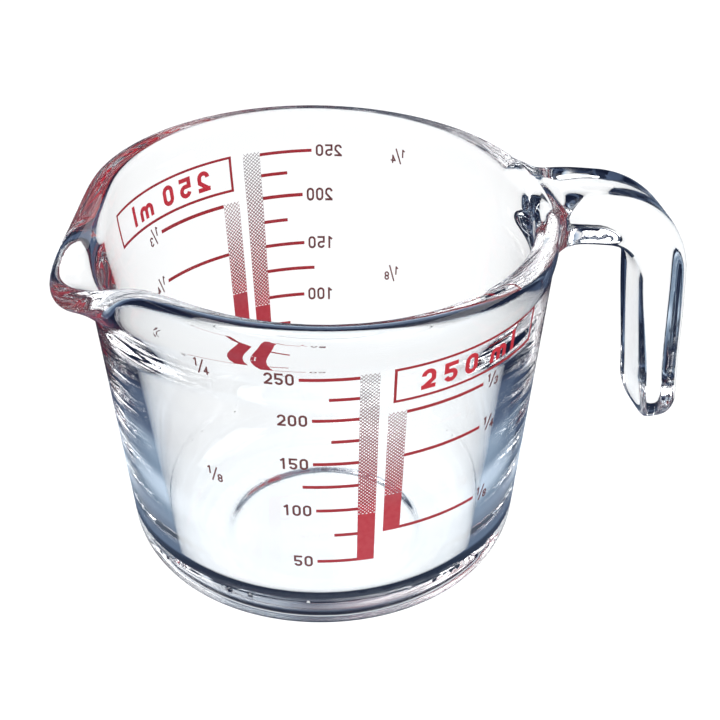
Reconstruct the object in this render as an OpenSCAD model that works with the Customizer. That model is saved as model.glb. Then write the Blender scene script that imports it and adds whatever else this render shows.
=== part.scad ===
// Pressed glass measuring jug, 250 ml, with a scale printed on both sides.
// Millimetres. +Z is up, the foot stands on Z = 0 on the bowl's axis, the pouring lip
// points to -X and the handle to +X. The turn angles of the prints run from -Y to +X.

/* [Bowl] */
// Outer diameter of the rim
rim_d = 95.2; // [88:0.1:110]
// Height of the rim above the table, midway between lip and handle
rim_h = 77.7; // [70:0.1:95]
// Outer diameter of the wall just above the rounded foot
heel_d = 77.6; // [68:0.2:84]
// Height of that place above the table
heel_h = 12; // [10:0.5:15]
// Thickness of the wall at the rim
rim_t = 4.8; // [3.4:0.1:5.6]
// Thickness of the wall just above the floor
heel_t = 6.4; // [4.5:0.1:7.5]
// Thickness of the floor
floor_t = 6.9; // [5:0.1:9]
// Radius of the rounded outer corner at the foot
foot_r = 13; // [9:0.5:15]
// Radius of the rounded inner corner at the floor
floor_r = 7; // [4:0.5:9]
// Width of the flat ring that the jug stands on
stand_w = 4.5; // [3:0.5:8]
// Depth of the hollow inside that ring
hollow_h = 0.8; // [0.4:0.1:1.5]
// Thickness of the rounded rim
rim_w = 5; // [3.6:0.1:6]
// How far the flared rim stands out of the line of the wall
bead_t = 0.4; // [0.1:0.1:1.5]
// Height over which that flare fades into the wall
bead_h = 10; // [8:0.5:12]
// How far the rim climbs towards the pouring lip, and falls towards the handle
rim_rise = 1.4; // [0:0.1:3]

/* [Pouring lip] */
// Reach of the pouring lip beyond the rim
lip_reach = 7; // [4:0.1:9]
// How far the tip of the lip dips below the rim beside it
lip_drop = 8.9; // [5:0.1:11]
// Height of the part of the wall that bulges out into the lip
lip_root_h = 20.5; // [16:0.5:24]
// Half of the angle over which the wall bulges out, in degrees
lip_half_turn = 40; // [28:1:44]
// Half of the angle over which the rim dips, in degrees
dip_half_turn = 60; // [44:1:66]

/* [Handle] */
// Width of the grip
grip_w = 15.5; // [12:0.5:20]
// Thickness of the grip below the bend
grip_t = 10.4; // [9:0.2:14]
// Thickness of the grip at its lower end
grip_end_t = 8.4; // [7:0.2:13]
// Thickness of the handle at its root
root_t = 11.8; // [10:0.2:15]
// How far the flared root is wider than the grip, on each side
root_flare = 3.5; // [1:0.1:4]
// How far the top of the handle stands above the rim beside it
handle_rise = 2; // [0:0.2:4]
// Slope of the handle where it leaves the rim, in degrees
root_slope = 13; // [0:1:16]
// Clear space between the bowl's rim and the grip
finger_gap = 17.7; // [15:0.1:24]
// Radius of the bend, to the middle of the handle
bend_r = 15; // [12:0.5:22]
// Length of the hanging grip below the bend, without its round end
grip_len = 28; // [18:0.5:32]
// Length of that round end
grip_end_len = 8; // [4:0.2:10]
// Lean of the hanging grip, away from the bowl at its lower end, in degrees
grip_lean = 0; // [-5:0.5:4]

/* [Scale] */
// Least height between the rim and the top mark
brim_gap = 10; // [9:0.1:14]
// Thickness of the enamel
enamel_t = 0.2; // [0.1:0.02:0.4]
// Width of a bar
bar_w = 3.6; // [2.5:0.1:4.5]
// Gap between the two bars
bar_gap = 1.7; // [1:0.1:3]
// Thickness of a tick
tick_t = 0.7; // [0.4:0.05:1]
// Length of a long tick of the litre scale
tick_len = 11.4; // [8:0.1:12]
// Length of a tick of the pint scale
pint_tick_len = 17.5; // [12:0.5:20]
// Height of the numbers
number_h = 2.7; // [2:0.1:3.4]
// Height of the digits in a fraction
fraction_h = 1.9; // [1.5:0.1:2.4]
// Clear space beside each number
number_gap = 0.9; // [0.5:0.1:1.5]
// Room left for a word between a fraction of a litre and the number beside it
word_len = 10; // [0:0.5:14]
// Turn of the front scale from straight in front, in degrees
front_turn = 0.3; // [-4:0.1:4]
// Turn of the back scale from straight behind, in degrees
back_turn = 7.2; // [0:0.1:9]

/* [Label] */
// Length of the label's frame along the wall
label_len = 36; // [30:0.5:38]
// Height of the label's frame
label_h = 8; // [6:0.5:8]
// How far the frame's top stands above the top mark
label_up = 0.9; // [0:0.1:2]
// Thickness of the frame's line
label_line_t = 0.55; // [0.3:0.05:0.9]
// Height of the label's figures
label_number_h = 4.6; // [3.5:0.1:5]

/* [Hidden] */

$fn = 96;
glass = [0.80, 0.87, 0.90, 0.45];
red = [0.80, 0.06, 0.11];
brown = [0.42, 0.14, 0.14];

// Overrun of every cut
cut = 1;

// Lines of the wall: radius at a height, outside and inside
rim_r = rim_d / 2;
heel_r = heel_d / 2;
out_slope = (rim_r - heel_r) / (rim_h - heel_h);
in_slope = out_slope + (heel_t - rim_t) / (rim_h - heel_h);
function wall_r(z) = heel_r + out_slope * (z - heel_h);
function bore_r(z) = heel_r - heel_t + in_slope * (z - heel_h);

// Centres of the two corner arcs, each of which meets the wall in line
out_tilt = atan(out_slope);
in_tilt = atan(in_slope);
foot_x = wall_r(foot_r) - foot_r / cos(out_tilt);
floor_z = floor_t + floor_r;
floor_x = bore_r(floor_z) - floor_r / cos(in_tilt);

// The wall is plain and round up to here, and the lip grows out of it above
plain_h = rim_h - lip_root_h;

// Upper ring: stations round the bowl and rows from the plain wall to the rim
stations = 144;
wall_rows = 7;
bead_rows = 6;
round_rows = 8;
turn_step = 360 / stations;
// The ring starts this far down inside the plain wall, and this far in from both its faces
seam_lap = 2;
seam_in = 0.04;

// A smooth hump, 1 at the middle and 0 from the half turn on
function hump(turn, half, power) =
    abs(turn) >= half ? 0 : pow(cos(90 * turn / half), power);
lip_power = 4.6;
dip_power = 6.5;
// How quickly the bulge grows towards the rim
bulge_power = 4.3;
// The flare of the rim starts at least this far above the plain wall
seam_gap = 1;
// The flare fades out where the handle is
bead_fade_turn = 34;

function lip_hump(turn) = hump(turn, lip_half_turn, lip_power);
function rim_top(turn) =
    rim_h + rim_rise * cos(turn) - lip_drop * hump(turn, dip_half_turn, dip_power);
function bead(turn) = bead_t * (1 - hump(180 - abs(turn), bead_fade_turn, 1));
function ease(s) = s * s * (3 - 2 * s);

// Heights at a turn where the rim's round begins and where its flare begins
function round_low(turn) = rim_top(turn) - rim_w / 2;
function flare_low(turn) = max(rim_top(turn) - bead_h, plain_h + seam_gap);

// Radii of the wall's two faces at a height, without the lip
function rim_out(turn) = wall_r(round_low(turn)) + bead(turn);
function out_line(turn, z) =
    let (low = flare_low(turn), s = max(0, (z - low) / (round_low(turn) - low)))
    wall_r(z) * (1 - ease(s)) + rim_out(turn) * ease(s);
function in_line(turn, z) =
    let (s = (round_low(turn) - z) / (round_low(turn) - plain_h))
    (rim_out(turn) - rim_w) * (1 - ease(s)) + bore_r(z) * ease(s);

// How far the lip bulges out at a height of the wall's middle, and how far the wall leans there
function rise(turn, z) = (z - plain_h) / (round_low(turn) - plain_h);
function bulge(turn, z) = lip_reach * lip_hump(turn) * pow(rise(turn, z), bulge_power);
function lean(turn, z) =
    let (reach = lip_reach * lip_hump(turn))
    atan(reach * bulge_power * pow(rise(turn, z), bulge_power - 1) / (round_low(turn) - plain_h));

// A [radius, height] point of the skin, outside for way 1 and inside for way -1. The wall keeps
// its thickness where the lip leans out.
function skin(turn, z, way) =
    let (out = out_line(turn, z), in = in_line(turn, z), half = way * (out - in) / 2,
        a = lean(turn, z))
    [(out + in) / 2 + bulge(turn, z) + half * cos(a), z - half * sin(a)];

// One station of the ring, up the outside and down the inside. Its first and last points lie
// inside the plain wall.
function station(turn) =
    let (low = round_low(turn),
        bead_low = flare_low(turn),
        half = rim_w / 2,
        mid = rim_out(turn) - half + bulge(turn, low))
    concat(
        [for (z = [plain_h - seam_lap, plain_h]) [wall_r(z) - seam_in, z]],
        [for (i = [1:wall_rows - 1])
            skin(turn, plain_h + (bead_low - plain_h) * i / wall_rows, 1)],
        [for (i = [0:bead_rows - 1])
            skin(turn, bead_low + (low - bead_low) * i / bead_rows, 1)],
        [for (i = [0:round_rows])
            let (a = 180 * i / round_rows - lean(turn, low))
            [mid + half * cos(a), low + half * sin(a)]],
        [for (i = [1:wall_rows - 1])
            skin(turn, low + (plain_h - low) * i / wall_rows, -1)],
        [for (z = [plain_h, plain_h - seam_lap]) [bore_r(z) + seam_in, z]]);

// The stations go round from the lip's axis and close on themselves
function ring_points() =
    [for (k = [0:stations - 1])
        let (turn = (k * turn_step > 180) ? k * turn_step - 360 : k * turn_step)
        for (p = station(turn)) [-p[0] * cos(turn), -p[0] * sin(turn), p[1]]];
rows = len(station(0));
function ring_faces() =
    [for (k = [0:stations - 1])
        for (i = [0:rows - 1])
            let (next = (k + 1) % stations, up = (i + 1) % rows)
            each [[k * rows + i, k * rows + up, next * rows + up],
                [k * rows + i, next * rows + up, next * rows + i]]];

module upper_ring() {
    polyhedron(ring_points(), ring_faces(), convexity = 8);
}

// Outline of the plain part of the bowl, from the foot up
module outer_outline(top) {
    polygon([[0, 0], [foot_x, 0], [foot_x, foot_r],
        [foot_x + foot_r * cos(out_tilt), foot_r - foot_r * sin(out_tilt)],
        [wall_r(top), top], [0, top]]);
    translate([foot_x, foot_r])
        intersection() {
            circle(r = foot_r);
            translate([0, -foot_r])
                square([foot_r, foot_r]);
        }
}

module inner_outline(top) {
    polygon([[0, floor_t], [floor_x, floor_t], [floor_x, floor_z],
        [floor_x + floor_r * cos(in_tilt), floor_z - floor_r * sin(in_tilt)],
        [bore_r(top), top], [0, top]]);
    translate([floor_x, floor_z])
        intersection() {
            circle(r = floor_r);
            translate([0, -floor_r])
                square([floor_r, floor_r]);
        }
}

module hollow_outline() {
    hollow_r = foot_x - stand_w;
    polygon([[0, -cut], [hollow_r, -cut], [hollow_r, 0],
        [hollow_r - 2 * hollow_h, hollow_h], [0, hollow_h]]);
}

module bowl() {
    color(glass) {
        rotate_extrude()
            difference() {
                outer_outline(plain_h);
                inner_outline(plain_h + cut);
                hollow_outline();
            }
        upper_ring();
    }
}

// Handle: one swept bar whose rounded section follows a line, a bend and a line
section_points = 28;
section_power = 5;
root_rows = 7;
bend_rows = 16;
grip_rows = 8;
end_rows = 6;
// Turn of the last row of the round end, just short of its pole
end_turn = 84;
// The handle starts inside the wall, and the bowl is then cut out of it
handle_sink = 2.2;
handle_z = rim_top(180) + handle_rise - root_t / 2;
handle_x = wall_r(handle_z) - handle_sink;
bend_x = rim_r + finger_gap + grip_t / 2 - bend_r * (1 - sin(root_slope));
flare_len = grip_t / 2;
flare_t_share = 0.6;
// How far the start of its top lies below the rim
rim_lap = 0.4;

root_len = (bend_x - handle_x) / cos(root_slope);
bend_end = 90 - grip_lean;
bend_c = [bend_x - bend_r * sin(root_slope),
    handle_z - root_len * sin(root_slope) - bend_r * cos(root_slope)];
grip_top = bend_c + bend_r * [sin(bend_end), cos(bend_end)];
grip_end = grip_top + grip_len * [cos(bend_end), -sin(bend_end)];

// Each row is [x, z, heading, half thickness, half width]. Near the wall the handle widens,
// deepens downwards, and its top comes down to the rim.
function flare(s) = root_flare * exp(-pow(s / flare_len, 2));
function drop(s) = (handle_rise + rim_lap) * exp(-pow(s / flare_len, 2));
function row(x, z, turn, thick, s) =
    let (more = flare(s) * flare_t_share, less = drop(s), shift = (more + less) / 2)
    [x - shift * sin(turn), z - shift * cos(turn), turn,
        (thick + more - less) / 2, grip_w / 2 + flare(s)];
handle_rows = concat(
    [for (i = [0:root_rows - 1])
        let (s = root_len * i / root_rows)
        row(handle_x + s * cos(root_slope), handle_z - s * sin(root_slope), root_slope, root_t, s)],
    [for (i = [0:bend_rows - 1])
        let (a = root_slope + (bend_end - root_slope) * i / bend_rows,
            thick = root_t + (grip_t - root_t) * i / bend_rows)
        row(bend_c[0] + bend_r * sin(a), bend_c[1] + bend_r * cos(a), a, thick,
            root_len + bend_r * (a - root_slope) * PI / 180)],
    [for (i = [0:grip_rows - 1])
        let (p = grip_top + (grip_end - grip_top) * i / grip_rows,
            thick = grip_t + (grip_end_t - grip_t) * ease(i / grip_rows))
        [p[0], p[1], bend_end, thick / 2, grip_w / 2]],
    [for (i = [0:end_rows])
        let (a = end_turn * i / end_rows,
            p = grip_end + grip_end_len * sin(a) * [cos(bend_end), -sin(bend_end)])
        [p[0], p[1], bend_end, grip_end_t / 2 * cos(a), grip_w / 2 * cos(a)]]);

function rounded(v) = sign(v) * pow(abs(v), 2 / section_power);
function handle_points() =
    [for (r = handle_rows)
        for (i = [0:section_points - 1])
            let (a = 360 * i / section_points, u = r[3] * rounded(cos(a)), v = r[4] * rounded(sin(a)))
            [r[0] + u * sin(r[2]), v, r[1] + u * cos(r[2])]];
function tube_faces(count, sides) = concat(
    [for (k = [0:count - 2])
        for (i = [0:sides - 1])
            let (a = k * sides + i, b = k * sides + (i + 1) % sides)
            each [[a, b, b + sides], [a, b + sides, a + sides]]],
    [[for (i = [sides - 1:-1:0]) i]],
    [[for (i = [0:sides - 1]) (count - 1) * sides + i]]);

module handle() {
    color(glass)
        difference() {
            polyhedron(handle_points(), tube_faces(len(handle_rows), section_points), convexity = 6);
            upper_ring();
        }
}

// The scale: the height that a volume fills the bowl to, from the bowl's own shape. Volumes
// are in millilitres, and this scale rounds the pint to 600.
slices = 60;
solve_steps = 24;
function fill_r(z) =
    z > floor_z - floor_r * sin(in_tilt) ? bore_r(z)
        : floor_x + sqrt(pow(floor_r, 2) - pow(floor_z - z, 2));
function sum(v, i = 0) = i < len(v) ? v[i] + sum(v, i + 1) : 0;
function volume(z) =
    let (dz = (z - floor_t) / slices)
    sum([for (i = [0:slices - 1]) PI * pow(fill_r(floor_t + dz * (i + 0.5)), 2) * dz]) / 1000;
function level(v, low = floor_t, high = rim_h, i = 0) =
    i == solve_steps ? (low + high) / 2
        : let (z = (low + high) / 2)
            volume(z) > v ? level(v, low, z, i + 1) : level(v, z, high, i + 1);

// Litre marks: the second to the tenth of ten equal steps, each a multiple of 5 ml, and how
// long the tick at each is
step_volume = 5 * floor(volume(rim_h - brim_gap) / 50);
litre_levels = [for (k = [2:10]) level(k * step_volume)];
litre_len_shares = [0.67, 0.39, 0.7, 0.93, 0.76, 0.46, 0.78, 0.51, 1];
litre_low = litre_levels[0];
litre_high = litre_levels[8];
function litre_volume(i) = (i + 2) * step_volume;

// The label's place, and the pint marks: an eighth, a quarter and so on, as many as there
// is room for below the label. A fraction is taller than its digits by a share.
fraction_all_share = 1.8;
label_z = litre_high + label_up - label_h / 2;
pint_room = label_z - label_h / 2 - fraction_h * fraction_all_share / 2;
function pint_level(part) = level(600 / part);
pint_parts_count = len([for (n = [8, 4, 3, 2]) if (pint_level(n) < pint_room) n]);
function pint_part(i) = [8, 4, 3, 2][i];
pint_levels = [for (i = [0:pint_parts_count - 1]) pint_level(pint_part(i))];
pint_low = pint_levels[0];
pint_high = pint_levels[pint_parts_count - 1];

// Turn that a length along the wall takes at a height
function turn_of(len, z) = len / wall_r(z) * 180 / PI;
middle_z = (litre_low + litre_high) / 2;
gap_turn = turn_of(bar_gap, middle_z);
bar_turn = turn_of(bar_w, middle_z);
edge_turn = gap_turn / 2 + bar_turn;

// A patch of enamel on the wall, between two heights and two turns. It stands t out of the wall
// and starts sink below it.
module patch(low, high, from, to, t = enamel_t, sink = 0) {
    rotate([0, 0, from - 90])
        rotate_extrude(angle = to - from)
            polygon([[wall_r(low) - sink, low], [wall_r(low) + t, low],
                [wall_r(high) + t, high], [wall_r(high) - sink, high]]);
}

// Puts a flat shape of a given size on the wall as enamel, centred on a height and a turn.
// The patch that it is cut from reaches this share of the size to each side.
reach_share = 0.6;
module stamp(z, turn, width, height) {
    half = turn_of(width, z) * reach_share;
    half_h = height * reach_share;
    intersection() {
        rotate([0, 0, turn])
            translate([0, 0, z])
                rotate([90, 0, 0])
                    linear_extrude(height = rim_d)
                        children();
        patch(z - half_h, z + half_h, turn - half, turn + half);
    }
}

// Figures: h is the height, w the width and s the stroke
module pill(h, w) {
    for (k = [-1, 1])
        translate([0, k * (h - w) / 2])
            circle(d = w);
    square([w, h - w], center = true);
}

module ring(d, s) {
    difference() {
        circle(d = d);
        circle(d = d - 2 * s);
    }
}

module zero(h, w, s) {
    difference() {
        pill(h, w);
        pill(h - 2 * s, w - 2 * s);
    }
}

module one(h, w, s) {
    translate([0, -h / 2])
        square([s, h]);
    polygon([[0, h / 2], [s, h / 2], [s, h / 2 - s], [-w / 4, h / 2 - 2 * s], [-w / 4, h / 2 - s]]);
}

module two(h, w, s) {
    r = w / 2;
    intersection() {
        translate([0, h / 2 - r])
            ring(w, s);
        translate([-w, h / 2 - r])
            square([2 * w, w]);
    }
    polygon([[r - s, h / 2 - r], [r, h / 2 - r], [s - r, s - h / 2], [-r, s - h / 2]]);
    translate([-r, -h / 2])
        square([w, s]);
}

module three(h, w, s) {
    d = (h + s) / 2;
    difference() {
        for (k = [-1, 1])
            translate([0, k * (h - d) / 2])
                ring(d, s);
        translate([-w, (d - h) / 2])
            square([w - s / 4, h - d]);
    }
}

module four(h, w, s) {
    stem_x = w / 2 - 2 * s;
    bar_y = -h / 4;
    translate([stem_x, -h / 2])
        square([s, h]);
    translate([-w / 2, bar_y])
        square([w, s]);
    polygon([[stem_x, h / 2], [stem_x + s, h / 2], [stem_x, h / 2 - 1.5 * s],
        [s - w / 2, bar_y + s], [-w / 2, bar_y + s], [-w / 2, bar_y]]);
}

module five(h, w, s) {
    r = w / 2;
    difference() {
        translate([0, r - h / 2])
            ring(w, s);
        translate([-w, r - h / 2 - s / 2])
            square([w - s / 2, w]);
    }
    translate([-r, h / 2 - s])
        square([w, s]);
    translate([-r, w - h / 2 - s])
        square([s, h - w + s]);
    translate([-r, w - h / 2 - s])
        square([r, s]);
}

module six(h, w, s) {
    r = w / 2;
    translate([0, r - h / 2])
        ring(w, s);
    intersection() {
        translate([h / 2 - r, r - h / 2])
            ring(h, s);
        translate([-r, r - h / 2])
            square([w, h - r]);
    }
}

module seven(h, w, s) {
    translate([-w / 2, h / 2 - s])
        square([w, s]);
    polygon([[w / 2 - s, h / 2 - s], [w / 2, h / 2 - s], [s - w / 4, -h / 2], [-w / 4, -h / 2]]);
}

module nine(h, w, s) {
    rotate([0, 0, 180])
        six(h, w, s);
}

module eight(h, w, s) {
    d = (h + s) / 2;
    for (k = [-1, 1])
        translate([0, k * (h - d) / 2])
            ring(d, s);
}

module letter_m(h, w, s) {
    arch = (w + s) / 2;
    for (k = [-1, 1])
        translate([k * (arch - s) / 2, 0]) {
            intersection() {
                ring(arch, s);
                translate([-arch, 0])
                    square([2 * arch, arch]);
            }
        }
    for (x = [-w / 2, -s / 2, w / 2 - s])
        translate([x, -h / 2])
            square([s, h / 2]);
}

module letter_l(h, w, s) {
    square([s, h], center = true);
}

// Ten stands for the letter m and eleven for the letter l
module figure(n, h, w, s) {
    if (n == 0) zero(h, w, s);
    if (n == 1) one(h, w, s);
    if (n == 2) two(h, w, s);
    if (n == 3) three(h, w, s);
    if (n == 4) four(h, w, s);
    if (n == 5) five(h, w, s);
    if (n == 6) six(h, w, s);
    if (n == 7) seven(h, w, s);
    if (n == 8) eight(h, w, s);
    if (n == 9) nine(h, w, s);
    if (n == 10) letter_m(h, 1.5 * w, s);
    if (n == 11) letter_l(h, w, s);
}

figure_w_share = 0.6;
figure_gap_share = 0.15;
stroke_share = 0.16;
slash_lean_share = 0.35;

function digits(n) = n < 10 ? [n] : concat(digits(floor(n / 10)), [n % 10]);

// A row of figures along the wall, whose right end is at a turn
module number_row(list, z, right, h, share) {
    w = h * figure_w_share;
    pitch = w + h * figure_gap_share;
    for (i = [0:len(list) - 1])
        stamp(z, right - turn_of(w / 2 + pitch * (len(list) - 1 - i), z), w, h)
            figure(list[i], h, w, h * share);
}

// A fraction one nth: raised 1, slash, lowered n, centred on a turn
module fraction(n, z, turn) {
    h = fraction_h;
    w = h * figure_w_share;
    s = h * stroke_share;
    all_w = 3 * w;
    all_h = h * fraction_all_share;
    lean = all_h * slash_lean_share / 2;
    stamp(z, turn, all_w, all_h) {
        translate([-w, (all_h - h) / 2])
            figure(1, h, w, s);
        polygon([[-lean - s / 2, -all_h / 2], [s / 2 - lean, -all_h / 2],
            [lean + s / 2, all_h / 2], [lean - s / 2, all_h / 2]]);
        translate([w, (h - all_h) / 2])
            figure(n, h, w, s);
    }
}

module litre_bar() {
    color(red)
        patch(litre_low - tick_t / 2, litre_high + tick_t, -edge_turn, -gap_turn / 2);
}

module litre_ticks() {
    color(red)
        for (i = [0:len(litre_levels) - 1])
            let (z = litre_levels[i], a = turn_of(tick_len * litre_len_shares[i], z))
            patch(z - tick_t / 2, z + tick_t / 2, -edge_turn - a, -edge_turn);
}

// Numbers stand at every second mark, past the end of its tick
function number_turn(i) =
    let (z = litre_levels[i])
    -edge_turn - turn_of(tick_len * litre_len_shares[i] + number_gap, z);

module litre_numbers() {
    color(brown)
        for (i = [0:2:8])
            let (list = digits(litre_volume(i)))
            number_row(list, litre_levels[i], number_turn(i), number_h, stroke_share);
}

// Fractions of a litre: an eighth and a quarter, in line past the longest number and a word's room
number_row_w = number_h * (3 * figure_w_share + 2 * figure_gap_share);
fraction_half_w = 1.5 * fraction_h * figure_w_share;
fraction_turn = number_turn(8)
    - turn_of(number_row_w + word_len + number_gap + fraction_half_w, litre_high);

module litre_fractions() {
    color(brown)
        for (n = [8, 4])
            if (1000 / n <= litre_volume(8))
                fraction(n, level(1000 / n), fraction_turn);
}

module pint_bar() {
    color(red)
        patch(pint_low - tick_t / 2, pint_high + tick_t / 2, gap_turn / 2, edge_turn);
}

module pint_ticks() {
    color(red)
        for (z = pint_levels)
            patch(z - tick_t / 2, z + tick_t / 2, edge_turn, edge_turn + turn_of(pint_tick_len, z));
}

module pint_fractions() {
    color(brown)
        for (i = [0:pint_parts_count - 1])
            let (z = pint_levels[i], a = turn_of(pint_tick_len + number_gap + fraction_half_w, z))
            fraction(pint_part(i), z, edge_turn + a);
}

// The label: a plain frame over the pint scale, with the jug's capacity in it
label_from = gap_turn;
label_to = label_from + turn_of(label_len, label_z);

module label_frame() {
    line = turn_of(label_line_t, label_z);
    low = label_z - label_h / 2;
    high = label_z + label_h / 2;
    color(red)
        difference() {
            patch(low, high, label_from, label_to);
            patch(low + label_line_t, high - label_line_t, label_from + line, label_to - line,
                enamel_t + cut, cut);
        }
}

// Its figures: where the middle of each stands, in widths of a figure with its gap
label_figures = concat(digits(litre_volume(8)), [10, 11]);
label_place_shares = [-2.25, -1.25, -0.25, 1.25, 2.15];
label_w_share = 0.66;
label_gap_share = 0.4;
bold_share = 0.21;
small_share = 0.75;

module label_figures() {
    h = label_number_h;
    w = h * label_w_share;
    pitch = turn_of(w + h * label_gap_share, label_z);
    middle = (label_from + label_to) / 2;
    color(red)
        for (i = [0:len(label_figures) - 1])
            let (n = label_figures[i], figure_h = n == 10 ? h * small_share : h)
            stamp(label_z - (h - figure_h) / 2, middle + label_place_shares[i] * pitch, 1.5 * w, h)
                figure(n, figure_h, w, h * bold_share);
}

module front() {
    rotate([0, 0, front_turn])
        children();
}

module back() {
    rotate([0, 0, 180 + back_turn])
        children();
}

bowl();
handle();
front() litre_bar();  // front_litre_bar
front() litre_ticks();  // front_litre_ticks
front() litre_numbers();  // front_litre_numbers
front() litre_fractions();  // front_litre_fractions
front() pint_bar();  // front_pint_bar
front() pint_ticks();  // front_pint_ticks
front() pint_fractions();  // front_pint_fractions
front() label_frame();  // front_label_frame
front() label_figures();  // front_label_figures
back() litre_bar();  // back_litre_bar
back() litre_ticks();  // back_litre_ticks
back() litre_numbers();  // back_litre_numbers
back() litre_fractions();  // back_litre_fractions
back() pint_bar();  // back_pint_bar
back() pint_ticks();  // back_pint_ticks
back() pint_fractions();  // back_pint_fractions
back() label_frame();  // back_label_frame
back() label_figures();  // back_label_figures
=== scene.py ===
"""Pressed glass measuring jug, 250 ml: its glass, its enamel, a plain studio and the camera."""
import math

import bpy
import numpy as np
from mathutils import Matrix


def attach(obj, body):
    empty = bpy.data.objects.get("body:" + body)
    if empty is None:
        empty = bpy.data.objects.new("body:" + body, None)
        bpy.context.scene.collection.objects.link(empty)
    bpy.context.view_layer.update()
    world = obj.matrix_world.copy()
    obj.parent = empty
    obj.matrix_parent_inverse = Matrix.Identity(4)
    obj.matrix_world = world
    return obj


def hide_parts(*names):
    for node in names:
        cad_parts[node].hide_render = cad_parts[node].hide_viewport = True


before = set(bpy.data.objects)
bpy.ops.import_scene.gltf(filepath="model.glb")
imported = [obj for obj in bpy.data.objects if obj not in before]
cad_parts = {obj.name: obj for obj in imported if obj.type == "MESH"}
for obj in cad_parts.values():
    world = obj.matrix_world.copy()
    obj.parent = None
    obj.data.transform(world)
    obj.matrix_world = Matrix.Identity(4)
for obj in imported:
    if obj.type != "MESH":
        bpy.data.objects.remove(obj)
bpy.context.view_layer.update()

# All sizes below are in millimetres, and meshes are written in metres
MM = 0.001

# Bowl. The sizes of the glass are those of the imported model: _d is a diameter, _r a radius, _h a height,
# _t a thickness, _w a width and _turn an angle round the bowl in degrees
rim_d = 95.2
rim_h = 77.7
heel_d = 77.6
heel_h = 12.0
rim_t = 4.8
heel_t = 6.4
floor_t = 6.9
foot_r = 13.0
floor_r = 7.0
stand_w = 4.5
hollow_h = 0.8
rim_w = 5.0
# The rim's flare: how far it stands out, the height it fades over, and where it ends near the handle
bead_t = 0.4
bead_h = 10.0
bead_fade_turn = 34.0
# How far the rim climbs towards the lip, and falls towards the handle
rim_rise = 1.4

# Pouring lip: its reach, the dip of its tip, and how high and wide the bulge and the dip are and how sharply
# they fade. The flare starts at least seam_gap above the plain wall
lip_reach = 7.0
lip_drop = 8.9
lip_root_h = 20.5
lip_half_turn = 40.0
dip_half_turn = 60.0
lip_power = 4.6
dip_power = 6.5
bulge_power = 4.3
seam_gap = 1.0

# Handle. Its flare at the rim is root_flare wide on each side and a share of that thick
grip_w = 15.5
grip_t = 10.4
grip_end_t = 8.4
root_t = 11.8
root_flare = 3.5
flare_t_share = 0.6
handle_rise = 2.0
rim_lap = 0.4
root_slope = 13.0
finger_gap = 17.7
bend_r = 15.0
grip_len = 28.0
grip_end_len = 8.0
section_power = 5.0
# How deep the handle starts in the wall, and the width of the fillet where it leaves the wall
handle_sink = 2.2
root_blend = 3.0

# Scale
bar_w = 3.6
bar_gap = 1.7
tick_t = 0.7
tick_len = 11.4
pint_tick_len = 17.5
number_h = 2.7
fraction_h = 1.9
number_gap = 0.9
word_len = 10.0
front_turn = 0.3
back_turn = 7.2
label_len = 36.0
label_h = 8.0
label_line_t = 0.55
label_number_h = 4.6
label_up = 0.9

# Figures, in heights of a figure: width, gap, stroke, bold stroke, height of a whole fraction and how far
# its slash leans
figure_w_share = 0.6
figure_gap_share = 0.15
stroke_share = 0.16
bold_share = 0.21
fraction_all_share = 1.8
slash_lean_share = 0.35

# What follows from these sizes
rim_r = rim_d / 2
heel_r = heel_d / 2
out_slope = (rim_r - heel_r) / (rim_h - heel_h)
in_slope = out_slope + (heel_t - rim_t) / (rim_h - heel_h)
out_tilt = math.atan(out_slope)
in_tilt = math.atan(in_slope)
plain_h = rim_h - lip_root_h


def wall_r(z):
    """Outer radius of the plain wall at a height."""
    return heel_r + out_slope * (z - heel_h)


def bore_r(z):
    """Inner radius of the plain wall at a height."""
    return heel_r - heel_t + in_slope * (z - heel_h)


foot_x = wall_r(foot_r) - foot_r / math.cos(out_tilt)
floor_z = floor_t + floor_r
floor_x = bore_r(floor_z) - floor_r / math.cos(in_tilt)


def smooth(s):
    """An S curve from 0 to 1."""
    s = np.clip(s, 0.0, 1.0)
    return s * s * (3.0 - 2.0 * s)


def hump(turn, half, power):
    """1 at turn 0 and 0 from half on, for turns in degrees."""
    turn = np.clip(np.abs(turn) / half, 0.0, 1.0)
    return np.cos(0.5 * math.pi * turn) ** power


def rim_top(turn):
    """Height of the rim at a turn from the lip's axis."""
    return rim_h + rim_rise * np.cos(np.radians(turn)) - lip_drop * hump(turn, dip_half_turn, dip_power)


# The search for the nearest height on the wall's middle line: how often it is bettered, by how much at
# most, the least slope and rise it reckons with, and what counts as the line's upper end
search_passes = 8
search_step = 1.5
least_slope = 0.5
least_rise = 1e-3
end_slack = 1e-6


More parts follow.
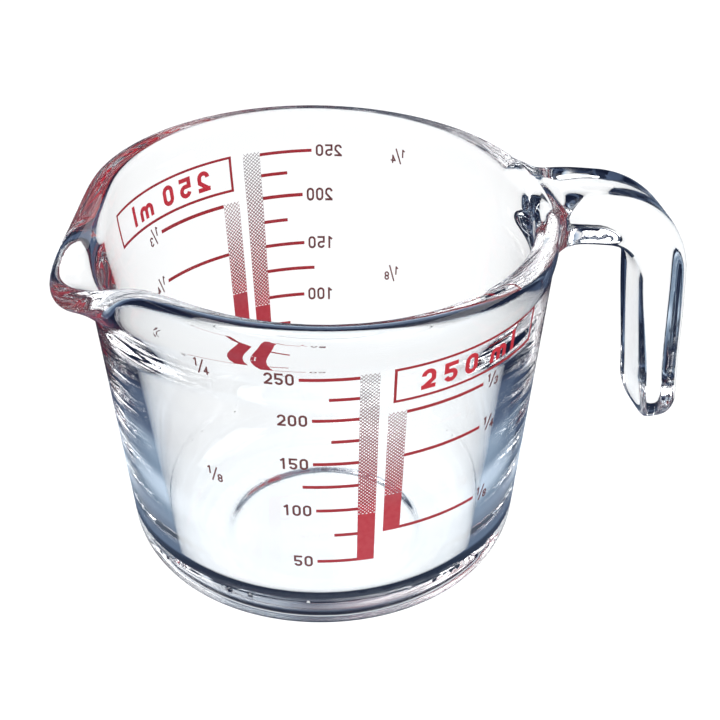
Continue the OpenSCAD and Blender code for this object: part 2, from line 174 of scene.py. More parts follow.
def wall_field(r, z, turn):
    """About the distance to the upper wall's surface. Its thickness is measured square to its middle line,
    so that it stays the same where the lip leans out."""
    top = rim_top(turn)
    half = rim_w / 2
    round_low = top - half
    flare_low = np.maximum(top - bead_h, plain_h + seam_gap)
    bead = bead_t * (1.0 - hump(180.0 - np.abs(turn), bead_fade_turn, 1))
    rim_out = wall_r(round_low) + bead
    reach = lip_reach * hump(turn, lip_half_turn, lip_power)
    tall = round_low - plain_h

    def lines(h):
        """The middle and half the thickness of the wall at a height, and the lip's slope and rise."""
        s = smooth((h - flare_low) / (round_low - flare_low))
        outer = wall_r(h) * (1 - s) + rim_out * s
        s = smooth((round_low - h) / tall)
        inner = (rim_out - rim_w) * (1 - s) + bore_r(h) * s
        rise = np.clip((h - plain_h) / tall, least_rise, 1.0)
        steep = reach * bulge_power * rise ** (bulge_power - 1) / tall
        mid = (outer + inner) / 2 + steep * rise * tall / bulge_power
        return mid, (outer - inner) / 2, steep, rise

    at = np.minimum(z, round_low)
    for _ in range(search_passes):
        mid, _, steep, rise = lines(at)
        bend = steep * (bulge_power - 1) / (rise * tall)
        gap = (r - mid) * steep + z - at
        move = gap / np.maximum(1 + steep * steep - (r - mid) * bend, least_slope)
        at = np.minimum(at + np.clip(move, -search_step, search_step), round_low)
    mid, thick, steep, rise = lines(at)
    long = np.sqrt(1 + steep * steep)
    side = ((r - mid) - (z - at) * steep) / long
    past = (at >= round_low - end_slack) & ((r - mid) * steep + z - at > 0)
    return np.where(past, np.hypot(r - mid, z - at) - half, np.abs(side) - thick)


# Width of the slope at the edge of the foot's hollow, in depths of the hollow
hollow_edge_share = 4


def bowl_field(x, y, z):
    """About the distance in millimetres to the bowl's surface, negative in the glass."""
    r = np.hypot(x, y)
    wall = wall_field(r, z, np.degrees(np.arctan2(y, -x)))
    shell_out = (r - wall_r(z)) * math.cos(out_tilt)
    cup = (bore_r(z) - r) * math.cos(in_tilt)
    corner = np.hypot(np.maximum(r - foot_x, 0.0), z - foot_r) - foot_r
    foot_join = foot_r - (r - foot_x) * math.tan(out_tilt)
    low = (z < foot_join) & (r > foot_x)
    under = hollow_h * smooth((foot_x - stand_w - r) / (hollow_edge_share * hollow_h))
    outside = np.where(low, corner, np.where(z < foot_r, np.maximum(under - z, r - heel_r), shell_out))
    outside = np.where((r <= foot_x) & (z < foot_r), under - z, outside)
    cup_corner = floor_r - np.hypot(np.maximum(r - floor_x, 0.0), z - floor_z)
    cup_join = floor_z - (r - floor_x) * math.tan(in_tilt)
    cup = np.where((z < cup_join) & (r > floor_x), cup_corner, cup)
    cup = np.where(r <= floor_x, np.where(z < floor_z, z - floor_t, floor_x), cup)
    return np.where(z > plain_h, wall, np.maximum(outside, cup))


# Where the handle starts, and where its bend begins and is centred
handle_z = float(rim_top(180.0)) + handle_rise - root_t / 2
handle_x = wall_r(handle_z) - handle_sink
slope = math.radians(root_slope)
bend_x = rim_r + finger_gap + grip_t / 2 - bend_r * (1 - math.sin(slope))
root_len = (bend_x - handle_x) / math.cos(slope)
bend_cx = bend_x - bend_r * math.sin(slope)
bend_cz = handle_z - root_len * math.sin(slope) - bend_r * math.cos(slope)
bend_len = bend_r * (math.pi / 2 - slope)
flare_len = grip_t / 2
# Numbers that keep a division by zero out of the handle's field
tiny = 1e-9
least_steep = 1e-3


def handle_field(x, y, z):
    """About the distance in millimetres to the handle's surface, negative in the glass."""
    along = (x - handle_x) * math.cos(slope) - (z - handle_z) * math.sin(slope)
    up = (x - handle_x) * math.sin(slope) + (z - handle_z) * math.cos(slope)
    turn = np.arctan2(x - bend_cx, z - bend_cz)
    reach = np.hypot(x - bend_cx, z - bend_cz)
    on_bend = (turn > slope) & (turn < math.pi / 2)
    on_grip = turn >= math.pi / 2
    s = np.where(on_bend, root_len + bend_r * (turn - slope), along)
    s = np.where(on_grip, root_len + bend_len + bend_cz - z, s)
    d = np.where(on_bend, reach - bend_r, up)
    d = np.where(on_grip, x - bend_cx - bend_r, d)
    bent = np.clip((s - root_len) / bend_len, 0.0, 1.0)
    hung = (s - root_len - bend_len) / grip_len
    thick = root_t + (grip_t - root_t) * bent + (grip_end_t - grip_t) * smooth(hung)
    near = np.exp(-(s / flare_len) ** 2)
    more = root_flare * near * flare_t_share
    less = (handle_rise + rim_lap) * near
    half_t = (thick + more - less) / 2
    half_w = grip_w / 2 + root_flare * near
    d = d + (more + less) / 2
    u = np.abs(d) / half_t
    v = np.abs(y) / half_w
    size = (u ** section_power + v ** section_power) ** (1 / section_power) + tiny
    steep = np.hypot((u / size) ** (section_power - 1) / half_t, (v / size) ** (section_power - 1) / half_w)
    past = np.maximum(s - (root_len + bend_len + grip_len), 0.0) / grip_end_len
    whole = np.hypot(size, past)
    steep = np.hypot(size * steep, past / grip_end_len) / whole
    side = (whole - 1) / np.maximum(steep, least_steep)
    return np.maximum(side, -s)


def glass_field(x, y, z):
    """The bowl and the handle as one pressing, with a fillet where they meet."""
    a = bowl_field(x, y, z)
    b = handle_field(x, y, z)
    near = np.maximum(root_blend - np.abs(a - b), 0.0) / root_blend
    return np.minimum(a, b) - near * near * root_blend / 4


def surface_net(field, low, high, step):
    """Vertices and quads of the surface where field is zero, found on a grid."""
    axes = [np.arange(a, b + step, step) for a, b in zip(low, high)]
    value = field(*np.meshgrid(*axes, indexing="ij", sparse=True))
    cells = tuple(n - 1 for n in value.shape)
    total = np.zeros(cells + (3,), np.float32)
    count = np.zeros(cells, np.float32)
    edges = []
    for axis in range(3):
        a = np.moveaxis(value, axis, 0)
        crossing = (a[:-1] < 0) != (a[1:] < 0)
        i, j, k = np.nonzero(crossing)
        t = a[i, j, k] / (a[i, j, k] - a[i + 1, j, k])
        side_b, side_c = [n for n in range(3) if n != axis]
        index = [None, None, None]
        index[axis], index[side_b], index[side_c] = i, j, k
        point = np.stack([axes[n][index[n]] for n in range(3)], 1)
        point[:, axis] += t * step
        edges.append((axis, index, a[i, j, k] < 0))
        for db in (0, 1):
            for dc in (0, 1):
                cell = [p.copy() for p in index]
                cell[side_b] -= db
                cell[side_c] -= dc
                ok = np.all([(cell[n] >= 0) & (cell[n] < cells[n]) for n in range(3)], axis=0)
                cell = tuple(p[ok] for p in cell)
                np.add.at(total, cell, point[ok])
                np.add.at(count, cell, 1)
    used = count > 0
    number = np.full(cells, -1)
    number[used] = np.arange(used.sum())
    points = total[used] / count[used][:, None]
    quads = []
    for axis, index, first_inside in edges:
        b, c = (axis + 1) % 3, (axis + 2) % 3
        corners = []
        for db, dc in ((0, 0), (1, 0), (1, 1), (0, 1)):
            cell = [p.copy() for p in index]
            cell[b] -= db
            cell[c] -= dc
            corners.append(number[tuple(cell)])
        quad = np.stack(corners, 1)
        quad[~first_inside] = quad[~first_inside][:, ::-1]
        quads.append(quad)
    return points.astype(float), np.concatenate(quads)


def gradient(field, p, h=0.01):
    """Slope of a field at points, by central differences over h to each side."""
    g = np.empty_like(p)
    for n in range(3):
        d = np.zeros(3)
        d[n] = h
        g[:, n] = (field(*(p + d).T) - field(*(p - d).T)) / (2 * h)
    return g


def settle(field, points, quads, passes=3, pull=0.6, returns=2):
    """Pulls the points along the surface towards their neighbours, and puts them back onto it."""
    pairs = np.concatenate([quads[:, [n, (n + 1) % 4]] for n in range(4)])
    pairs = np.concatenate([pairs, pairs[:, ::-1]])
    degree = np.bincount(pairs[:, 0], minlength=len(points))[:, None]
    for _ in range(passes):
        beside = points[pairs[:, 1]]
        mean = np.stack([np.bincount(pairs[:, 0], beside[:, n], len(points)) for n in range(3)], 1) / degree
        g = gradient(field, points)
        g /= np.linalg.norm(g, axis=1)[:, None]
        move = mean - points
        points = points + pull * (move - g * (move * g).sum(1)[:, None])
        for _ in range(returns):
            g = gradient(field, points)
            points = points - g * (field(*points.T) / (g * g).sum(1))[:, None]
    g = gradient(field, points)
    return points, g / np.linalg.norm(g, axis=1)[:, None]


def add_mesh(name, points, faces, material, nodes, normals=None):
    """Makes a piece from points in millimetres, hangs it on the root body, and hides the imported nodes that
    it stands for.
    """
    mesh = bpy.data.meshes.new(name)
    mesh.from_pydata((np.asarray(points) * MM).tolist(), [], [list(map(int, f)) for f in faces])
    mesh.polygons.foreach_set("use_smooth", [True] * len(mesh.polygons))
    if normals is not None:
        mesh.normals_split_custom_set_from_vertices(normals.tolist())
    mesh.materials.append(material)
    piece = bpy.data.objects.new(name, mesh)
    bpy.context.collection.objects.link(piece)
    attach(piece, "root")
    if nodes:
        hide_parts(*nodes)
    return piece


def new_material(name):
    """An empty node material and its tree."""
    material = bpy.data.materials.new(name)
    material.use_nodes = True
    material.node_tree.nodes.clear()
    return material, material.node_tree


# Glass: tint, index, the tint that it gives to lamp light behind it, and its faint ripples, in metres
glass_tint = (0.985, 0.995, 1.0, 1)
glass_index = 1.474
shadow_tint = (0.90, 0.92, 0.93, 1)
ripple_scale = 90.0
ripple_detail = 1.0
ripple_share = 0.03
ripple_depth = 0.0004
# The box and the step of the grid that the skin is found on
net_low = (-60.0, -50.0, -2.0)
net_high = (79.0, 50.0, 82.0)
net_step = 0.8


def glass_material():
    """Clear pressed glass with faint ripples, which lets lamps through to what is behind it."""
    material, tree = new_material("clear_glass")
    nodes, links = tree.nodes, tree.links
    out = nodes.new("ShaderNodeOutputMaterial")
    mix = nodes.new("ShaderNodeMixShader")
    path = nodes.new("ShaderNodeLightPath")
    clear = nodes.new("ShaderNodeBsdfTransparent")
    clear.inputs["Color"].default_value = shadow_tint
    glass = nodes.new("ShaderNodeBsdfPrincipled")
    glass.inputs["Base Color"].default_value = glass_tint
    glass.inputs["Roughness"].default_value = 0.0
    glass.inputs["IOR"].default_value = glass_index
    glass.inputs["Transmission Weight"].default_value = 1.0
    ripple = nodes.new("ShaderNodeTexNoise")
    ripple.inputs["Scale"].default_value = ripple_scale
    ripple.inputs["Detail"].default_value = ripple_detail
    place = nodes.new("ShaderNodeTexCoord")
    bump = nodes.new("ShaderNodeBump")
    bump.inputs["Strength"].default_value = ripple_share
    bump.inputs["Distance"].default_value = ripple_depth
    links.new(place.outputs["Object"], ripple.inputs["Vector"])
    links.new(ripple.outputs["Fac"], bump.inputs["Height"])
    links.new(bump.outputs["Normal"], glass.inputs["Normal"])
    links.new(path.outputs["Is Shadow Ray"], mix.inputs[0])
    links.new(glass.outputs[0], mix.inputs[1])
    links.new(clear.outputs[0], mix.inputs[2])
    links.new(mix.outputs[0], out.inputs["Surface"])
    return material


def build_glass(material):
    """Bowl and handle in one skin."""
    points, quads = surface_net(glass_field, net_low, net_high, net_step)
    points, normals = settle(glass_field, points, quads)
    add_mesh("glass_body", points, quads, material, ["bowl", "handle"], normals)


# Enamel: how deep it starts in the glass, how far it stands out of it, its longest straight step, and what
# keeps the corners of a stroke from running out too far
enamel_in = 0.03
enamel_out = 0.05
enamel_step = 1.2
corner_limit = 1.2
# Steps round the figure 8
eight_steps = 24


def turn_of(length, z):
    """The turn in degrees that a length along the wall takes at a height."""
    return math.degrees(length / wall_r(z))


def ribbon(upper, lower, closed=False):
    """A thin solid of enamel between two rows of (turn, height) places on the wall."""
    turn = np.radians(np.stack([upper[:, 0], lower[:, 0], lower[:, 0], upper[:, 0]], 1)).ravel()
    z = np.stack([upper[:, 1], lower[:, 1], lower[:, 1], upper[:, 1]], 1).ravel()
    out = np.tile([-enamel_in, -enamel_in, enamel_out, enamel_out], len(upper))
    r = wall_r(z) + out * math.cos(out_tilt)
    points = np.stack([r * np.sin(turn), -r * np.cos(turn), z - out * math.sin(out_tilt)], 1)
    count = len(upper)
    faces = []
    for i in range(count if closed else count - 1):
        a, b = 4 * i, 4 * ((i + 1) % count)
        for j in range(4):
            k = (j + 1) % 4
            faces.append((a + k, a + j, b + j, b + k))
    if not closed:
        faces += [(0, 1, 2, 3), tuple(4 * count - n for n in (1, 2, 3, 4))]
    return points, faces


def patch(low, high, start, stop):
    """A patch between two heights and two turns."""
    steps = max(1, math.ceil(math.radians(stop - start) * rim_r / enamel_step))
    turn = np.linspace(start, stop, steps + 1)
    full = np.ones_like(turn)
    return ribbon(np.stack([turn, high * full], 1), np.stack([turn, low * full], 1))


def stroke(path, width, z, turn, closed=False):
    """A line of a given width along a path of (x, y) places in a flat figure set at a height and a turn."""
    path = np.asarray(path, float)
    ahead = np.roll(path, -1, 0) - path
    if not closed:
        ahead[-1] = ahead[-2]
    ahead /= np.linalg.norm(ahead, axis=1)[:, None]
    behind = np.roll(ahead, 1, 0)
    if not closed:
        behind[0] = ahead[0]
    side = np.stack([-(ahead + behind)[:, 1], (ahead + behind)[:, 0]], 1)
    side *= width / np.maximum((side * side).sum(1), corner_limit)[:, None]
    rows = []
    for edge in (path + side, path - side):
        rows.append(np.stack([turn + turn_of(1.0, z) * edge[:, 0], z + edge[:, 1]], 1))
    return ribbon(rows[0], rows[1], closed)


def arc(x, y, r, start, stop, steps=12):
    """Places on an arc, for turns in degrees against the clock from +x."""
    a = np.radians(np.linspace(start, stop, steps + 1))
    return [(x + r * math.cos(t), y + r * math.sin(t)) for t in a]


def figure_paths(figure, h, w, s):
    """The middle lines of a figure's strokes, as (path, closed), for a height, a width and a stroke."""
    r = (w - s) / 2
    loop = (h + s) / 2
    small = (loop - s) / 2
    up = (h - loop) / 2
    top = (h - s) / 2
    if figure == "0":
        straight = (h - w) / 2
        return [(arc(0, straight, r, 0, 180) + arc(0, -straight, r, 180, 360), True)]
    if figure == "1":
        return [([(s / 2, -h / 2), (s / 2, h / 2)], False), ([(-w / 4, top - s), (s / 2, top)], False)]
    if figure == "2":
        return [(arc(0, h / 2 - w / 2, r, 180, 0) + [(r, h / 2 - w / 2 - s), (-r, -top)], False),
                ([(-w / 2, -top), (w / 2, -top)], False)]
    if figure == "3":
        return [(arc(0, up, small, 170, -90), False), (arc(0, -up, small, 90, -170), False)]
    if figure == "4":
        stem = w / 2 - 1.5 * s
        bar = -h / 4 + s / 2
        return [([(stem, -h / 2), (stem, h / 2)], False), ([(-w / 2, bar), (w / 2, bar)], False),
                ([(stem, h / 2 - s * 0.7), (-r, bar)], False)]
    if figure == "5":
        low = w - h / 2 - s / 2
        return [([(w / 2, top), (-r, top), (-r, low)] + arc(0, w / 2 - h / 2, r, 90, -165), False)]
    if figure == "8":
        stop = 360 - 360 / eight_steps
        return [(arc(0, k * up, small, 0, stop, eight_steps - 1), True) for k in (-1, 1)]
    if figure == "m":
        leg = (w + s) / 4 - s / 2
        paths = [([(-2 * leg, -h / 2)] + arc(-leg, 0, leg, 180, 0) + [(0, -h / 2)], False)]
        return paths + [(arc(leg, 0, leg, 180, 0) + [(2 * leg, -h / 2)], False)]
    return [([(0, -h / 2), (0, h / 2)], False)]


def figure(name, h, w, s, z, turn, x=0.0, y=0.0):
    """A figure as solids of enamel, moved by x and y from its place on the wall."""
    solids = []
    for path, closed in figure_paths(name, h, w, s):
        solids.append(stroke([(px + x, py + y) for px, py in path], s, z, turn, closed))
    return solids


def fraction(name, z, turn):
    """A fraction one nth: raised 1, slash, lowered n."""
    h = fraction_h
    w = h * figure_w_share
    s = h * stroke_share
    high = h * fraction_all_share
    lean = high * slash_lean_share / 2
    solids = figure("1", h, w, s, z, turn, -w, (high - h) / 2)
    solids.append(stroke([(-lean, -high / 2), (lean, high / 2)], s, z, turn))
    return solids + figure(name, h, w, s, z, turn, w, (h - high) / 2)


# The marks' heights come from the bowl's own volume, summed in slices and turned round by halving
volume_slices = 600
halvings = 40


def volume(z):
    """Millilitres in the bowl up to a height."""
    h = np.linspace(floor_t, z, volume_slices + 1)
    h = (h[1:] + h[:-1]) / 2
    deep = floor_r - (h - floor_t)
    corner = floor_x + np.sqrt(np.maximum(floor_r ** 2 - deep ** 2, 0.0))
    r = np.where(h < floor_z, corner, bore_r(h))
    return float((math.pi * r ** 2).sum() * (z - floor_t) / volume_slices) / 1000.0


def level(amount):
    """The height that an amount in millilitres fills the bowl to."""
    low, high = floor_t, rim_h
    for _ in range(halvings):
        middle = (low + high) / 2
        low, high = (middle, high) if volume(middle) < amount else (low, middle)
    return low


# Litre scale: the amount of each tick, its height, its length in whole ticks, and the fractions of a litre
litre_amounts = list(range(50, 251, 25))
litre_levels = [level(amount) for amount in litre_amounts]
litre_len_shares = [0.67, 0.39, 0.7, 0.93, 0.76, 0.46, 0.78, 0.51, 1]
litre_parts = (8, 4)
litre = 1000.0
# Pint scale: this scale rounds the pint to 600 ml
pint = 600.0
pint_parts = (8, 4, 3)
litre_low, litre_high = litre_levels[0], litre_levels[-1]
pint_low, pint_high = level(pint / pint_parts[0]), level(pint / pint_parts[-1])
middle_z = (litre_low + litre_high) / 2
gap_turn = turn_of(bar_gap, middle_z)
edge_turn = gap_turn / 2 + turn_of(bar_w, middle_z)
label_z = litre_high + label_up - label_h / 2
fraction_half_w = 1.5 * fraction_h * figure_w_share
# Each bar is plain below this height and a lattice above it, whose lines get thinner upwards. Lines that
# would cross less than a share of the bar are left out
litre_plain_z = 33.6
pint_plain_z = 37.5
lattice_step = 0.78
lattice_low_t = 0.42
lattice_high_t = 0.14
lattice_least = 0.1
lattice_points = 5


def number_turn(i):
    """Where the right end of a number stands."""
    z = litre_levels[i]
    return -edge_turn - turn_of(tick_len * litre_len_shares[i] + number_gap, z)


def bar(low, plain, high, start, stop):
    """A bar of the scale: plain enamel, then crossing lines."""
    solids = [patch(low, plain, start, stop)]
    wide = math.radians(stop - start) * wall_r((low + high) / 2)
    for way in (1, -1):
        base = plain - wide if way == 1 else plain
        for n in range(int((high + wide - base) / lattice_step) + 1):
            at_start = base + n * lattice_step
            edges = sorted([(plain - at_start) * way / wide, (high - at_start) * way / wide])
            first, last = max(edges[0], 0.0), min(edges[1], 1.0)
            if last - first < lattice_least:
                continue
            share = np.linspace(first, last, lattice_points)
            z = at_start + way * wide * share
            half = lattice_low_t + (lattice_high_t - lattice_low_t) * (z - plain) / (high - plain)
            turn = start + (stop - start) * share
            solids.append(ribbon(np.stack([turn, z + half / 2], 1), np.stack([turn, z - half / 2], 1)))
    return solids


def litre_bar():
    """The bar beside the litre ticks."""
    return bar(litre_low - tick_t / 2, litre_plain_z, litre_high + tick_t, -edge_turn, -gap_turn / 2)


def litre_ticks():
    """A tick for every 25 ml, with the lengths of the photographed scale."""
    solids = []
    for z, share in zip(litre_levels, litre_len_shares):
        reach = turn_of(tick_len * share, z)
        solids.append(patch(z - tick_t / 2, z + tick_t / 2, -edge_turn - reach, -edge_turn))
    return solids


def litre_numbers():
    """A number left of every second tick."""
    solids = []
    h = number_h
    w = h * figure_w_share
    for i in range(0, len(litre_levels), 2):
        z = litre_levels[i]
        for k, name in enumerate(reversed(str(litre_amounts[i]))):
            turn = number_turn(i) - turn_of(w / 2 + (w + h * figure_gap_share) * k, z)
            solids += figure(name, h, w, h * stroke_share, z, turn)
    return solids


def litre_fractions():
    """The fractions of a litre, with room for a word between them and the numbers."""
    solids = []
    top = len(litre_levels) - 1
    digits = len(str(litre_amounts[top]))
    row_w = number_h * (digits * figure_w_share + (digits - 1) * figure_gap_share)
    turn = number_turn(top) - turn_of(row_w + word_len + number_gap + fraction_half_w, litre_high)
    for part in litre_parts:
        solids += fraction(str(part), level(litre / part), turn)
    return solids


def pint_bar():
    """The bar beside the pint ticks."""
    return bar(pint_low - tick_t / 2, pint_plain_z, pint_high + tick_t / 2, gap_turn / 2, edge_turn)


def pint_ticks():
    """A tick for each part of a pint."""
    solids = []
    for part in pint_parts:
        z = level(pint / part)
        stop = edge_turn + turn_of(pint_tick_len, z)
        solids.append(patch(z - tick_t / 2, z + tick_t / 2, edge_turn, stop))
    return solids


def pint_fractions():
    """The fractions of a pint, right of their ticks."""
    solids = []
    for part in pint_parts:
        z = level(pint / part)
        turn = edge_turn + turn_of(pint_tick_len + number_gap + fraction_half_w, z)
        solids += fraction(str(part), z, turn)
    return solids


def label_frame():
    """The label's frame, as two long strips and two short ones between them."""
    start = gap_turn
    stop = start + turn_of(label_len, label_z)
    line = turn_of(label_line_t, label_z)
    low, high = label_z - label_h / 2, label_z + label_h / 2
    inner_low, inner_high = low + label_line_t, high - label_line_t
    return [patch(low, inner_low, start, stop), patch(inner_high, high, start, stop),
            patch(inner_low, inner_high, start, start + line),
            patch(inner_low, inner_high, stop - line, stop)]


# The label's figures, and where the middle of each stands in widths of a figure with its gap
label_text = "250ml"
label_place_shares = [-2.25, -1.25, -0.25, 1.25, 2.15]
label_w_share = 0.66
label_gap_share = 0.4
# Height and width of the small letter m, in those of a figure
m_h_share = 0.75
m_w_share = 1.5


def label_figures():
    """The jug's capacity, in the middle of the frame."""
    solids = []
    w = label_number_h * label_w_share
    pitch = turn_of(w + label_number_h * label_gap_share, label_z)
    middle = gap_turn + turn_of(label_len, label_z) / 2
    for name, place in zip(label_text, label_place_shares):
        h = label_number_h * (m_h_share if name == "m" else 1)
        wide = w * (m_w_share if name == "m" else 1)
        z = label_z - (label_number_h - h) / 2
        solids += figure(name, h, wide, label_number_h * bold_share, z, middle + place * pitch)
    return solids


def build_print(side, turn, name, solids, material):
    """One print of the scale, turned to its side of the bowl, in place of its node."""
    points, faces, count = [], [], 0
    a = math.radians(turn)
    spin = np.array([[math.cos(a), math.sin(a), 0], [-math.sin(a), math.cos(a), 0], [0, 0, 1]])
    for places, corners in solids:
        points.append(places @ spin)
        faces += [tuple(c + count for c in corner) for corner in corners]
        count += len(places)
    node = side + "_" + name
    piece = add_mesh(node + "_enamel", np.concatenate(points), faces, material, [node])
    piece.data.polygons.foreach_set("use_smooth", [False] * len(piece.data.polygons))


# Enamel's grain, and the roughness that it varies between
grain_scale = 900.0
grain_detail = 3.0
satin_low = 0.28
satin_high = 0.45
# The heights between which the bars fade, and into what
fade_low = 34.0
fade_high = 64.0
fade_colour = (0.30, 0.25, 0.26)


def enamel_material(name, colour, worn):
    """Fired enamel with a fine grain and an uneven satin."""
    material, tree = new_material(name)
    nodes, links = tree.nodes, tree.links
    out = nodes.new("ShaderNodeOutputMaterial")
    paint = nodes.new("ShaderNodeBsdfPrincipled")
    grain = nodes.new("ShaderNodeTexNoise")
    grain.inputs["Scale"].default_value = grain_scale
    grain.inputs["Detail"].default_value = grain_detail
    place = nodes.new("ShaderNodeTexCoord")
    tint = nodes.new("ShaderNodeMix")
    tint.data_type = "RGBA"
    tint.inputs["A"].default_value = colour + (1,)
    tint.inputs["B"].default_value = worn + (1,)
    satin = nodes.new("ShaderNodeMapRange")
    satin.inputs["To Min"].default_value = satin_low
    satin.inputs["To Max"].default_value = satin_high
    links.new(place.outputs["Object"], grain.inputs["Vector"])
    links.new(grain.outputs["Fac"], tint.inputs["Factor"])
    links.new(grain.outputs["Fac"], satin.inputs["Value"])
    links.new(tint.outputs["Result"], paint.inputs["Base Color"])
    links.new(satin.outputs["Result"], paint.inputs["Roughness"])
    links.new(paint.outputs[0], out.inputs["Surface"])
    return material


def fade_upwards(material, low, high, colour):
    """Lets an enamel's colour turn into another between two heights."""
    tree = material.node_tree
    paint = next(n for n in tree.nodes if n.type == "BSDF_PRINCIPLED")
    place = next(n for n in tree.nodes if n.type == "TEX_COORD")
    split = tree.nodes.new("ShaderNodeSeparateXYZ")
    rise = tree.nodes.new("ShaderNodeMapRange")
    rise.inputs["From Min"].default_value = low * MM
    rise.inputs["From Max"].default_value = high * MM
    plain = paint.inputs["Base Color"].links[0].from_socket
    tree.links.new(place.outputs["Object"], split.inputs[0])
    tree.links.new(split.outputs["Z"], rise.inputs["Value"])
    tree.links.new(colour_mix(tree, rise.outputs["Result"], plain, colour), paint.inputs["Base Color"])


# Camera: where it stands and how it is turned, in degrees, millimetres and radians, and its lens
view_turn = 14.5
view_rise = 31.8
view_far = 605.2
aim_h = 40.0
view_yaw = -0.0129
view_pitch = 0.0042
view_roll = -0.0171
focal = 149.95
sensor_w = 36.0
nearest = 10.0


def build_camera():
    """The photograph's view of the jug."""
    rise = math.radians(view_rise)
    flat, high = math.cos(rise), math.sin(rise)
    place = Matrix(((1, 0, 0, 0),
                    (0, high, -flat, -view_far * flat),
                    (0, flat, high, aim_h + view_far * high),
                    (0, 0, 0, 1)))
    turn = Matrix.Rotation(view_yaw, 4, "Y") @ Matrix.Rotation(view_pitch, 4, "X")
    turn = turn @ Matrix.Rotation(view_roll, 4, "Z")
    whole = Matrix.Rotation(math.radians(-view_turn), 4, "Z") @ place @ turn
    whole.translation = whole.translation * MM
    camera = bpy.data.objects.new("camera", bpy.data.cameras.new("camera"))
    camera.data.sensor_width = sensor_w
    camera.data.lens = focal
    camera.data.clip_start = nearest * MM
    camera.matrix_world = whole
    bpy.context.collection.objects.link(camera)
    bpy.context.scene.camera = camera


def ramp_node(nodes, stops):
    """A colour ramp with the given places and colours."""
    ramp = nodes.new("ShaderNodeValToRGB")
    while len(ramp.color_ramp.elements) < len(stops):
        ramp.color_ramp.elements.new(0.5)
    for element, (at, colour) in zip(ramp.color_ramp.elements, stops):
        element.position = at
        element.color = colour + (1,)
    return ramp


def colour_mix(tree, factor, a, b):
    """The colour a where factor is 0 and b where it is 1."""
    mix = tree.nodes.new("ShaderNodeMix")
    mix.data_type = "RGBA"
    tree.links.new(factor, mix.inputs["Factor"])
    for value, name in ((a, "A"), (b, "B")):
        if isinstance(value, tuple):
            mix.inputs[name].default_value = value + (1,)
        else:
            tree.links.new(value, mix.inputs[name])
    return mix.outputs["Result"]


def math_node(tree, operation, *values):
    """A maths node on sockets or numbers."""
    node = tree.nodes.new("ShaderNodeMath")
    node.operation = operation
    for n, value in enumerate(values):
        if isinstance(value, (int, float)):
            node.inputs[n].default_value = value
        else:
            tree.links.new(value, node.inputs[n])
    return node.outputs[0]


navy = (0.008, 0.012, 0.03)
slate = (0.07, 0.10, 0.17)
steel = (0.22, 0.30, 0.40)
pale_blue = (0.62, 0.74, 0.88)
white = (1.0, 1.0, 1.0)

# What the glass shows of the room, from straight down (0) over level (0.5) to straight up (1), and the place
# below which light that has never been thrown back sees white instead
room_stops = [(0.0, navy), (0.60, navy), (0.62, slate), (0.64, slate), (0.66, navy), (0.74, navy),
              (0.76, white), (0.79, pale_blue), (0.81, navy), (0.86, navy), (0.90, slate), (0.93, white),
              (0.96, pale_blue), (1.0, slate)]
white_below = 0.27
# Painted reflection: dark and pale rings painted on the table, which only light thrown back inside the glass
# sees, from the jug's axis (0) to table_reach metres (1)
painted_reflection_stops = [(0.0, navy), (0.20, navy), (0.22, slate), (0.25, steel), (0.265, pale_blue),
               (0.28, pale_blue), (0.295, steel), (0.33, steel), (0.345, slate), (0.40, slate),
               (0.42, navy), (0.85, navy), (1.0, slate)]
table_reach = 0.2
# The light of the room on what is dull
lit_level = 0.5
# The table: half its side, its tone, its own light, and that light's share for the camera and the glass
table_side = 400.0
table_tone = (0.9, 0.9, 0.9, 1)
table_glow = 1.15
table_glow_share = 0.55
# Light goes round inside the wall many times before it leaves
glass_bounces = 48
# Lamps: place, width and power in watts
lamps = {"key": ((-700, -500, 1100), 900, 14.0), "fill": ((900, -300, 700), 900, 7.0)}


def ray_kinds(tree, path):
    """Sockets that are 1 for light off or through the glass, and for light thrown back at least once."""
    clear = math_node(tree, "MAXIMUM", path.outputs["Is Glossy Ray"], path.outputs["Is Transmission Ray"])
    return clear, math_node(tree, "GREATER_THAN", path.outputs["Glossy Depth"], 0.5)


def build_world():
    """White for the camera, even for what is dull, and for the glass a room with dark and pale bands."""
    world = bpy.data.worlds.new("studio")
    bpy.context.scene.world = world
    world.use_nodes = True
    tree = world.node_tree
    nodes, links = tree.nodes, tree.links
    nodes.clear()
    out = nodes.new("ShaderNodeOutputWorld")
    back = nodes.new("ShaderNodeBackground")
    path = nodes.new("ShaderNodeLightPath")
    place = nodes.new("ShaderNodeTexCoord")
    split = nodes.new("ShaderNodeSeparateXYZ")
    links.new(place.outputs["Generated"], split.inputs[0])
    up = math_node(tree, "MULTIPLY_ADD", split.outputs["Z"], 0.5, 0.5)
    room = ramp_node(nodes, room_stops)
    links.new(up, room.inputs["Fac"])
    clear, thrown = ray_kinds(tree, path)
    low = math_node(tree, "LESS_THAN", up, white_below)
    through = math_node(tree, "MULTIPLY", low, math_node(tree, "SUBTRACT", 1.0, thrown))
    seen = colour_mix(tree, through, room.outputs["Color"], white)
    shown = colour_mix(tree, clear, (lit_level,) * 3, seen)
    shown = colour_mix(tree, path.outputs["Is Camera Ray"], shown, white)
    links.new(shown, back.inputs["Color"])
    links.new(back.outputs[0], out.inputs["Surface"])


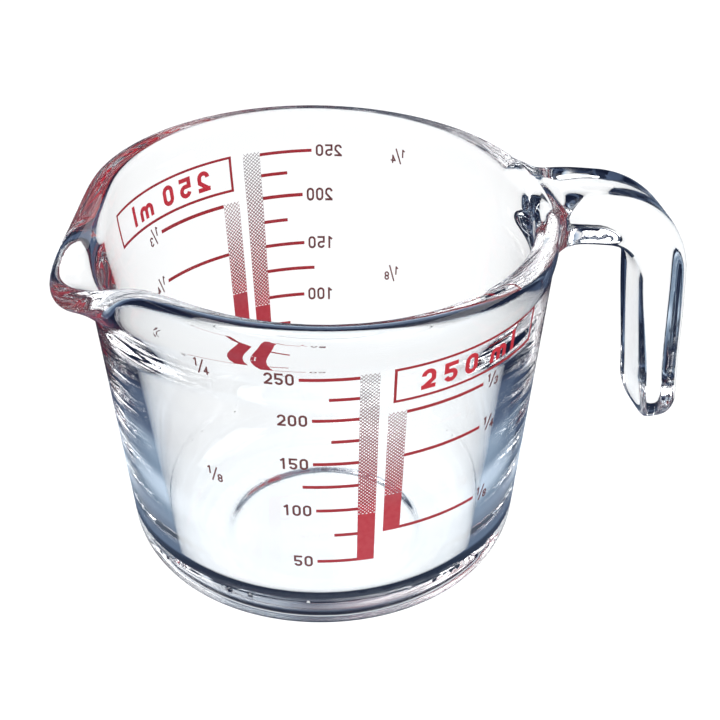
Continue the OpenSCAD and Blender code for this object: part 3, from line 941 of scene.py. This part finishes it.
def build_floor():
    """A white table. The camera and the glass see it white, with the jug's soft shadow. Light that has been
    thrown back inside the glass sees painted dark and pale rings on it, a painted reflection of a dark room."""
    material, tree = new_material("white_table")
    nodes, links = tree.nodes, tree.links
    out = nodes.new("ShaderNodeOutputMaterial")
    plain = nodes.new("ShaderNodeBsdfDiffuse")
    plain.inputs["Color"].default_value = table_tone
    glow = nodes.new("ShaderNodeEmission")
    glow.inputs["Strength"].default_value = table_glow
    mix = nodes.new("ShaderNodeMixShader")
    path = nodes.new("ShaderNodeLightPath")
    place = nodes.new("ShaderNodeTexCoord")
    far = nodes.new("ShaderNodeVectorMath")
    far.operation = "LENGTH"
    links.new(place.outputs["Object"], far.inputs[0])
    # Painted reflection: dark and pale rings on the table, only for light thrown back inside the glass
    painted_reflection_rings = ramp_node(nodes, painted_reflection_stops)
    links.new(math_node(tree, "DIVIDE", far.outputs["Value"], table_reach), painted_reflection_rings.inputs["Fac"])
    clear, thrown = ray_kinds(tree, path)
    thrown = math_node(tree, "MULTIPLY", thrown, clear)
    colour = colour_mix(tree, thrown, white, painted_reflection_rings.outputs["Color"])
    links.new(colour, glow.inputs["Color"])
    seen = math_node(tree, "MAXIMUM", clear, path.outputs["Is Camera Ray"])
    seen = math_node(tree, "MULTIPLY", seen, table_glow_share)
    links.new(math_node(tree, "MAXIMUM", seen, thrown), mix.inputs[0])
    links.new(plain.outputs[0], mix.inputs[1])
    links.new(glow.outputs[0], mix.inputs[2])
    links.new(mix.outputs[0], out.inputs["Surface"])
    material.cycles.emission_sampling = "NONE"
    mesh = bpy.data.meshes.new("table")
    side = table_side * MM
    corners = [(-side, -side, 0), (side, -side, 0), (side, side, 0), (-side, side, 0)]
    mesh.from_pydata(corners, [], [(0, 1, 2, 3)])
    mesh.materials.append(material)
    table = bpy.data.objects.new("table", mesh)
    bpy.context.collection.objects.link(table)


def add_lamp(name, place, width, power):
    """A soft square lamp that looks at the jug."""
    lamp = bpy.data.objects.new(name, bpy.data.lights.new(name, "AREA"))
    lamp.data.size = width * MM
    lamp.data.energy = power
    lamp.location = [c * MM for c in place]
    aim = -lamp.location
    lamp.rotation_euler = aim.to_track_quat("-Z", "Y").to_euler()
    bpy.context.collection.objects.link(lamp)


# The enamels are given by their colour and the colour that their grain turns it into
red = enamel_material("red_enamel", (0.36, 0.012, 0.02), (0.42, 0.03, 0.04))
bright = enamel_material("bright_red_enamel", (0.58, 0.01, 0.025), (0.62, 0.04, 0.06))
faded = enamel_material("faded_red_enamel", (0.46, 0.012, 0.03), (0.56, 0.07, 0.085))
fade_upwards(faded, fade_low, fade_high, fade_colour)
brown = enamel_material("brown_enamel", (0.13, 0.03, 0.03), (0.18, 0.06, 0.06))

build_camera()
build_glass(glass_material())
# The prints of one side: node, shape, enamel and slot
prints = [
    ("litre_bar", litre_bar, faded, "red_enamel"),
    ("litre_ticks", litre_ticks, red, "red_enamel"),
    ("litre_numbers", litre_numbers, brown, "brown_enamel"),
    ("litre_fractions", litre_fractions, brown, "brown_enamel"),
    ("pint_bar", pint_bar, faded, "red_enamel"),
    ("pint_ticks", pint_ticks, red, "red_enamel"),
    ("pint_fractions", pint_fractions, brown, "brown_enamel"),
    ("label_frame", label_frame, red, "red_enamel"),
    ("label_figures", label_figures, bright, "red_enamel"),
]
for name, make, material, slot in prints:
    solids = make()
    build_print("front", front_turn, name, solids, material)
    build_print("back", 180 + back_turn, name, solids, material)

bpy.context.scene.view_settings.view_transform = "Standard"
for name in ("max_bounces", "glossy_bounces", "transmission_bounces"):
    setattr(bpy.context.scene.cycles, name, glass_bounces)
build_world()
build_floor()
for name, (place, width, power) in lamps.items():
    add_lamp(name, place, width, power)
